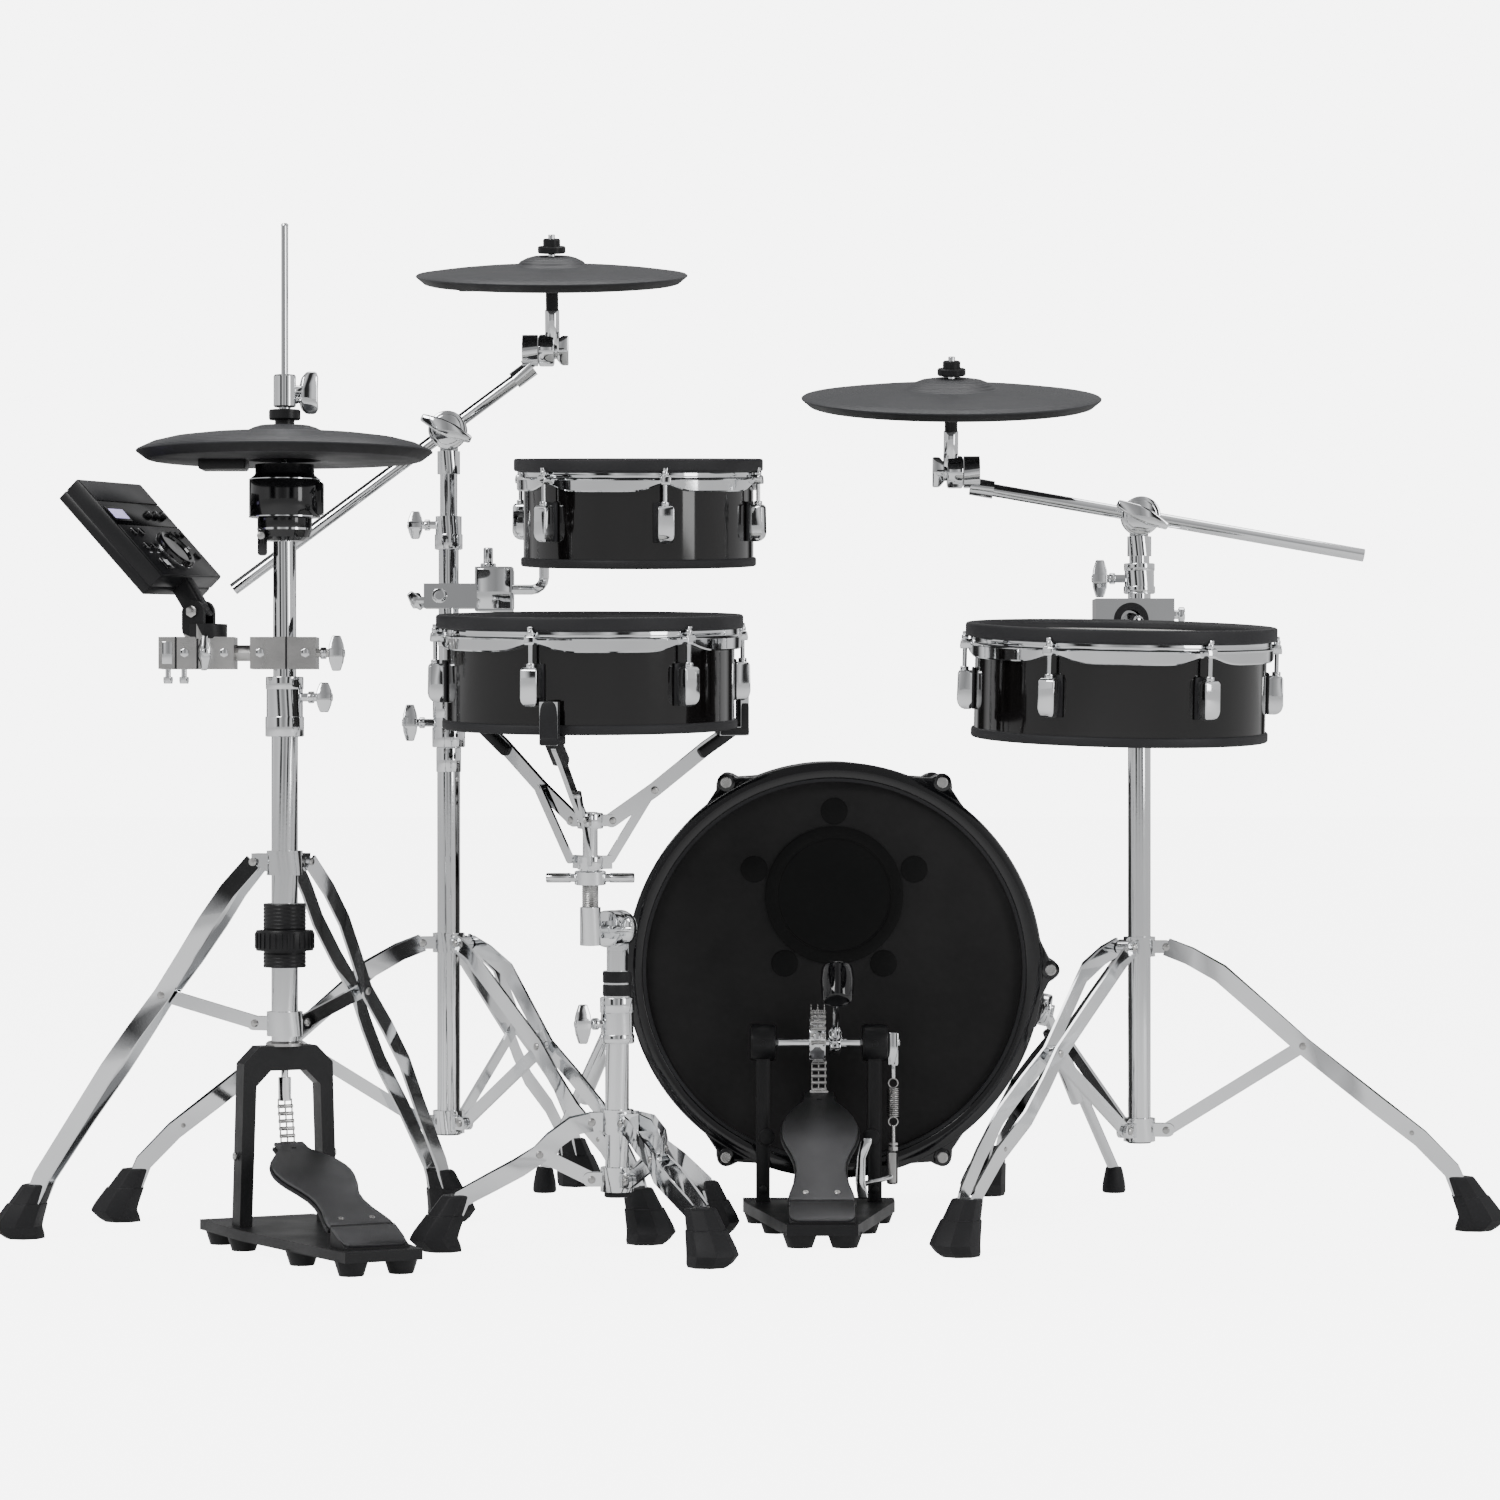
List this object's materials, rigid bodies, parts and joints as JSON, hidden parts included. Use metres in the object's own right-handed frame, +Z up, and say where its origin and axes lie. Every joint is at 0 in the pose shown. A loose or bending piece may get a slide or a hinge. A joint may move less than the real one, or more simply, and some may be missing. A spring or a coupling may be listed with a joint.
{
  "type": "drum kit",
  "caption": "Drum kit of shallow gloss-black pad drums with rubber rims, a flat kick drum with pedal, a hi-hat stand with control module, and rubber cymbal pads on chrome stands.",
  "frame": {"origin": "on the floor, under the middle of the kit's overall box", "axes": "+Z up, +X to the player's right, +Y from the player to the front of the kit"},
  "size_m": [1.6534, 0.9768, 1.1103],
  "materials": {
    "chrome": "polished chrome plate",
    "gloss_shell": "gloss black lacquer",
    "rubber": "matte dark grey rubber",
    "black_casting": "black coated casting",
    "mesh_head": "black woven mesh",
    "footboard_metal": "brushed dark silver",
    "black_plastic": "satin black plastic"
  },
  "bodies": {
    "floor_units": {"kick_shell": "gloss_shell", "kick_batter_hoop": "black_plastic", "kick_batter_head": "mesh_head", "kick_front_head": "black_plastic", "kick_pedal_frame": "black_casting", "hihat_tripod": "chrome", "hihat_pedal_frame": "black_casting", "crash_lower_tube": "chrome", "snare_tripod": "chrome", "ride_lower_tube": "chrome"},
    "kick_spur_right_body": {"kick_spur_right": "chrome"},
    "kick_spur_left_body": {"kick_spur_left": "chrome"},
    "kick_footboard_body": {"kick_footboard": "footboard_metal"},
    "kick_beater_body": {"kick_beater": "chrome"},
    "hihat_footboard_body": {"hihat_footboard": "footboard_metal"},
    "hihat_rod_body": {"hihat_pull_rod": "chrome"},
    "hihat_upper_body": {"hihat_upper_tube": "chrome", "hihat_controller": "black_plastic"},
    "hihat_pad_body": {"hihat_pad": "rubber"},
    "module_clamp_body": {"module_clamp": "black_casting"},
    "module_body": {"sound_module": "black_plastic"},
    "crash_collar_body": {"crash_collar": "chrome"},
    "crash_leg_1_body": {"crash_leg_1": "chrome"},
    "crash_leg_2_body": {"crash_leg_2": "chrome"},
    "crash_leg_3_body": {"crash_leg_3": "chrome"},
    "crash_stay_1_body": {"crash_stay_1": "chrome"},
    "crash_stay_2_body": {"crash_stay_2": "chrome"},
    "crash_stay_3_body": {"crash_stay_3": "chrome"},
    "crash_middle_body": {"crash_middle_tube": "chrome"},
    "crash_top_body": {"crash_top_tube": "chrome"},
    "crash_tilter_body": {"crash_boom_tilter": "chrome"},
    "crash_boom_body": {"crash_boom": "chrome"},
    "crash_pad_tilter_body": {"crash_pad_tilter": "chrome"},
    "crash_pad_body": {"crash_pad": "rubber"},
    "tom_clamp_body": {"tom_clamp": "chrome"},
    "tom_rod_body": {"tom_rod": "chrome"},
    "tom_drum_body": {"tom_shell": "gloss_shell", "tom_rim": "rubber"},
    "snare_mast_body": {"snare_mast": "chrome"},
    "snare_arm_1_body": {"snare_arm_1": "chrome"},
    "snare_arm_2_body": {"snare_arm_2": "chrome"},
    "snare_arm_3_body": {"snare_arm_3": "chrome"},
    "snare_basket_body": {"snare_shell": "gloss_shell", "snare_rim": "rubber", "snare_basket_stem": "chrome"},
    "ride_collar_body": {"ride_collar": "chrome"},
    "ride_leg_1_body": {"ride_leg_1": "chrome"},
    "ride_leg_2_body": {"ride_leg_2": "chrome"},
    "ride_leg_3_body": {"ride_leg_3": "chrome"},
    "ride_stay_1_body": {"ride_stay_1": "chrome"},
    "ride_stay_2_body": {"ride_stay_2": "chrome"},
    "ride_stay_3_body": {"ride_stay_3": "chrome"},
    "ride_mast_body": {"ride_mast": "chrome"},
    "ride_tilter_body": {"ride_boom_tilter": "chrome"},
    "ride_boom_body": {"ride_boom": "chrome"},
    "ride_pad_tilter_body": {"ride_pad_tilter": "chrome"},
    "ride_pad_body": {"ride_pad": "rubber"},
    "floor_tom_drum_body": {"floor_tom_shell": "gloss_shell", "floor_tom_rim": "rubber"},
    "floor_tom_clamp_body": {"floor_tom_clamp": "chrome"}
  },
  "joints": [
    {"name": "kick_pedal_press", "type": "hinge", "parent": "floor_units", "child": "kick_footboard_body", "pos_m": [0.07183, -0.17755, 0.044], "axis": [-1, 0, 0], "range_deg": [0, 9], "stiffness_Nm_per_rad": 8, "springref_deg": -9.74},
    {"name": "kick_beater_swing", "type": "hinge", "parent": "floor_units", "child": "kick_beater_body", "pos_m": [0.07183, 0.02245, 0.203], "axis": [-1, 0, 0], "range_deg": [0, 69.53]},
    {"name": "kick_spur_right_fold", "type": "hinge", "parent": "floor_units", "child": "kick_spur_right_body", "pos_m": [0.08983, 0.26245, 0.282], "axis": [-0.9755, 0, 0.22], "range_deg": [0, 95]},
    {"name": "kick_spur_left_fold", "type": "hinge", "parent": "floor_units", "child": "kick_spur_left_body", "pos_m": [0.08983, 0.26245, 0.282], "axis": [-0.9755, 0, -0.22], "range_deg": [0, 95]},
    {"name": "hihat_pedal_press", "type": "hinge", "parent": "floor_units", "child": "hihat_footboard_body", "pos_m": [-0.40077, -0.41505, 0.044], "axis": [-0.8942, -0.4478, 0], "range_deg": [0, 4.1], "stiffness_Nm_per_rad": 30, "springref_deg": -12.61},
    {"name": "hihat_rod_pull", "type": "slide", "parent": "floor_units", "child": "hihat_rod_body", "axis": [0, 0, -1], "range_m": [0, 0.0151]},
    {"name": "hihat_pad_travel", "type": "slide", "parent": "hihat_upper_body", "child": "hihat_pad_body", "axis": [0, 0, -1], "range_m": [0, 0.0151]},
    {"name": "hihat_height", "type": "slide", "parent": "floor_units", "child": "hihat_upper_body", "axis": [0, 0, 1], "range_m": [0, 0.12]},
    {"name": "module_arm_turn", "type": "hinge", "parent": "hihat_upper_body", "child": "module_clamp_body", "pos_m": [-0.50017, -0.21655, 0], "axis": [0, 0, 1], "range_deg": [-20, 20]},
    {"name": "module_tilt", "type": "hinge", "parent": "module_clamp_body", "child": "module_body", "pos_m": [-0.59167, -0.21655, 0.6768], "axis": [0.3173, 0.9483, 0], "range_deg": [-15, 8]},
    {"name": "crash_fold", "type": "slide", "parent": "floor_units", "child": "crash_collar_body", "axis": [0, 0, 1], "range_m": [0, 0.024]},
    {"name": "crash_mid_height", "type": "slide", "parent": "floor_units", "child": "crash_middle_body", "axis": [0, 0, 1], "range_m": [0, 0.06]},
    {"name": "crash_top_height", "type": "slide", "parent": "crash_middle_body", "child": "crash_top_body", "axis": [0, 0, 1], "range_m": [-0.02, 0.05]},
    {"name": "crash_boom_tilt", "type": "hinge", "parent": "crash_top_body", "child": "crash_tilter_body", "pos_m": [-0.34817, 0.11145, 0.893], "axis": [0, -1, 0], "range_deg": [-8, 15]},
    {"name": "crash_boom_slide", "type": "slide", "parent": "crash_tilter_body", "child": "crash_boom_body", "axis": [0.8028, 0, 0.5962], "range_m": [-0.03, 0.1]},
    {"name": "crash_pad_tilt", "type": "hinge", "parent": "crash_boom_body", "child": "crash_pad_tilter_body", "pos_m": [-0.24541, 0.09645, 0.98332], "axis": [1, 0, 0], "range_deg": [-25, 12]},
    {"name": "crash_pad_swing", "type": "hinge", "parent": "crash_pad_tilter_body", "child": "crash_pad_body", "pos_m": [-0.22941, 0.08134, 1.06899], "axis": [1, 0, 0], "range_deg": [-8, 8], "stiffness_Nm_per_rad": 2},
    {"name": "tom_arm_turn", "type": "hinge", "parent": "crash_middle_body", "child": "tom_clamp_body", "pos_m": [-0.34817, 0.11145, 0], "axis": [0, 0, 1], "range_deg": [-15, 15]},
    {"name": "tom_tilt", "type": "hinge", "parent": "tom_clamp_body", "child": "tom_rod_body", "pos_m": [-0.34817, 0.09945, 0.712], "axis": [1, 0, 0], "range_deg": [-10, 3]},
    {"name": "tom_turn", "type": "hinge", "parent": "tom_rod_body", "child": "tom_drum_body", "pos_m": [-0.23896, 0.09945, 0.712], "axis": [0, -0.0698, 0.9976], "range_deg": [-10, 6]},
    {"name": "snare_height", "type": "slide", "parent": "floor_units", "child": "snare_mast_body", "axis": [0, 0, 1], "range_m": [-0.015, 0.012]},
    {"name": "snare_basket_tilt", "type": "hinge", "parent": "snare_mast_body", "child": "snare_basket_body", "pos_m": [-0.14617, -0.23155, 0.341], "axis": [-0.4924, -0.8704, 0], "range_deg": [-8, 8]},
    {"name": "snare_arm_1_open", "type": "hinge", "parent": "snare_basket_body", "child": "snare_arm_1_body", "pos_m": [-0.15089, -0.27747, 0.45621], "axis": [-0.309, 0.9498, 0.0498], "range_deg": [0, 7]},
    {"name": "snare_arm_2_open", "type": "hinge", "parent": "snare_basket_body", "child": "snare_arm_2_body", "pos_m": [-0.18985, -0.2692, 0.45665], "axis": [-0.6691, -0.7421, -0.0389], "range_deg": [0, 7.05]},
    {"name": "snare_arm_3_open", "type": "hinge", "parent": "snare_basket_body", "child": "snare_arm_3_body", "pos_m": [-0.17754, -0.30703, 0.45466], "axis": [0.9781, -0.2076, -0.0109], "range_deg": [0, 7.05]},
    {"name": "ride_fold", "type": "slide", "parent": "floor_units", "child": "ride_collar_body", "axis": [0, 0, 1], "range_m": [0, 0.1555]},
    {"name": "ride_mast_height", "type": "slide", "parent": "floor_units", "child": "ride_mast_body", "axis": [0, 0, 1], "range_m": [0, 0.06]},
    {"name": "ride_boom_tilt", "type": "hinge", "parent": "ride_mast_body", "child": "ride_tilter_body", "pos_m": [0.42883, 0.00745, 0.79], "axis": [0, 1, 0], "range_deg": [-10, 12]},
    {"name": "ride_boom_slide", "type": "slide", "parent": "ride_tilter_body", "child": "ride_boom_body", "axis": [-0.9848, 0, 0.1736], "range_m": [-0.1, 0]},
    {"name": "ride_pad_tilt", "type": "hinge", "parent": "ride_boom_body", "child": "ride_pad_tilter_body", "pos_m": [0.23187, -0.00755, 0.83873], "axis": [1, 0, 0], "range_deg": [-20, 15]},
    {"name": "ride_pad_swing", "type": "hinge", "parent": "ride_pad_tilter_body", "child": "ride_pad_body", "pos_m": [0.21787, -0.02295, 0.92182], "axis": [1, 0, 0], "range_deg": [-8, 8], "stiffness_Nm_per_rad": 2},
    {"name": "floor_tom_arm_turn", "type": "hinge", "parent": "floor_units", "child": "floor_tom_clamp_body", "pos_m": [0.42883, 0.00745, 0], "axis": [0, 0, 1], "range_deg": [-15, 15]},
    {"name": "floor_tom_height", "type": "slide", "parent": "floor_tom_clamp_body", "child": "floor_tom_drum_body", "axis": [0.0175, -0.0645, 0.9978], "range_m": [-0.03, 0.02]},
    {"name": "crash_leg_1_fold", "type": "hinge", "parent": "crash_collar_body", "child": "crash_leg_1_body", "pos_m": [-0.3778, 0.10676, 0.311], "axis": [0.1564, -0.9877, 0], "range_deg": [0, 6.84]},
    {"name": "crash_stay_1_fold", "type": "hinge", "parent": "floor_units", "child": "crash_stay_1_body", "pos_m": [-0.3778, 0.10676, 0.107], "axis": [0.1564, -0.9877, 0], "range_deg": [-7.33, 0]},
    {"name": "crash_leg_2_fold", "type": "hinge", "parent": "crash_collar_body", "child": "crash_leg_2_body", "pos_m": [-0.32929, 0.08814, 0.311], "axis": [0.7771, 0.6293, 0], "range_deg": [0, 6.84]},
    {"name": "crash_stay_2_fold", "type": "hinge", "parent": "floor_units", "child": "crash_stay_2_body", "pos_m": [-0.32929, 0.08814, 0.107], "axis": [0.7771, 0.6293, 0], "range_deg": [-7.33, 0]},
    {"name": "crash_leg_3_fold", "type": "hinge", "parent": "crash_collar_body", "child": "crash_leg_3_body", "pos_m": [-0.33742, 0.13946, 0.311], "axis": [-0.9336, 0.3584, 0], "range_deg": [0, 6.84]},
    {"name": "crash_stay_3_fold", "type": "hinge", "parent": "floor_units", "child": "crash_stay_3_body", "pos_m": [-0.33742, 0.13946, 0.107], "axis": [-0.9336, 0.3584, 0], "range_deg": [-7.33, 0]},
    {"name": "ride_leg_1_fold", "type": "hinge", "parent": "ride_collar_body", "child": "ride_leg_1_body", "pos_m": [0.45857, 0.00348, 0.311], "axis": [0.1323, 0.9912, 0], "range_deg": [0, 44.05]},
    {"name": "ride_stay_1_fold", "type": "hinge", "parent": "floor_units", "child": "ride_stay_1_body", "pos_m": [0.45857, 0.00348, 0.107], "axis": [0.1323, 0.9912, 0], "range_deg": [-47.25, 0]},
    {"name": "ride_leg_2_fold", "type": "hinge", "parent": "ride_collar_body", "child": "ride_leg_2_body", "pos_m": [0.41132, -0.01691, 0.311], "axis": [0.8121, -0.5835, 0], "range_deg": [0, 44.05]},
    {"name": "ride_stay_2_fold", "type": "hinge", "parent": "floor_units", "child": "ride_stay_2_body", "pos_m": [0.41132, -0.01691, 0.107], "axis": [0.8121, -0.5835, 0], "range_deg": [-47.25, 0]},
    {"name": "ride_leg_3_fold", "type": "hinge", "parent": "ride_collar_body", "child": "ride_leg_3_body", "pos_m": [0.41639, 0.03475, 0.311], "axis": [-0.91, -0.4147, 0], "range_deg": [0, 44.05]},
    {"name": "ride_stay_3_fold", "type": "hinge", "parent": "floor_units", "child": "ride_stay_3_body", "pos_m": [0.41639, 0.03475, 0.107], "axis": [-0.91, -0.4147, 0], "range_deg": [-47.25, 0]}
  ],
  "couplings": [
    {"joint": "kick_beater_swing", "follows": "kick_pedal_press", "ratio": 7.72},
    {"joint": "hihat_rod_pull", "follows": "hihat_pedal_press", "m_per_rad": 0.21},
    {"joint": "hihat_pad_travel", "follows": "hihat_pedal_press", "m_per_rad": 0.21},
    {"joint": "snare_arm_2_open", "follows": "snare_arm_1_open", "ratio": 1},
    {"joint": "snare_arm_3_open", "follows": "snare_arm_1_open", "ratio": 1},
    {"joint": "crash_leg_1_fold", "follows": "crash_fold", "rad_per_m": 4.9386},
    {"joint": "crash_stay_1_fold", "follows": "crash_fold", "rad_per_m": -5.2977},
    {"joint": "crash_leg_2_fold", "follows": "crash_fold", "rad_per_m": 4.9386},
    {"joint": "crash_stay_2_fold", "follows": "crash_fold", "rad_per_m": -5.2977},
    {"joint": "crash_leg_3_fold", "follows": "crash_fold", "rad_per_m": 4.9386},
    {"joint": "crash_stay_3_fold", "follows": "crash_fold", "rad_per_m": -5.2977},
    {"joint": "ride_leg_1_fold", "follows": "ride_fold", "rad_per_m": 4.9386},
    {"joint": "ride_stay_1_fold", "follows": "ride_fold", "rad_per_m": -5.2977},
    {"joint": "ride_leg_2_fold", "follows": "ride_fold", "rad_per_m": 4.9386},
    {"joint": "ride_stay_2_fold", "follows": "ride_fold", "rad_per_m": -5.2977},
    {"joint": "ride_leg_3_fold", "follows": "ride_fold", "rad_per_m": 4.9386},
    {"joint": "ride_stay_3_fold", "follows": "ride_fold", "rad_per_m": -5.2977}
  ]
}
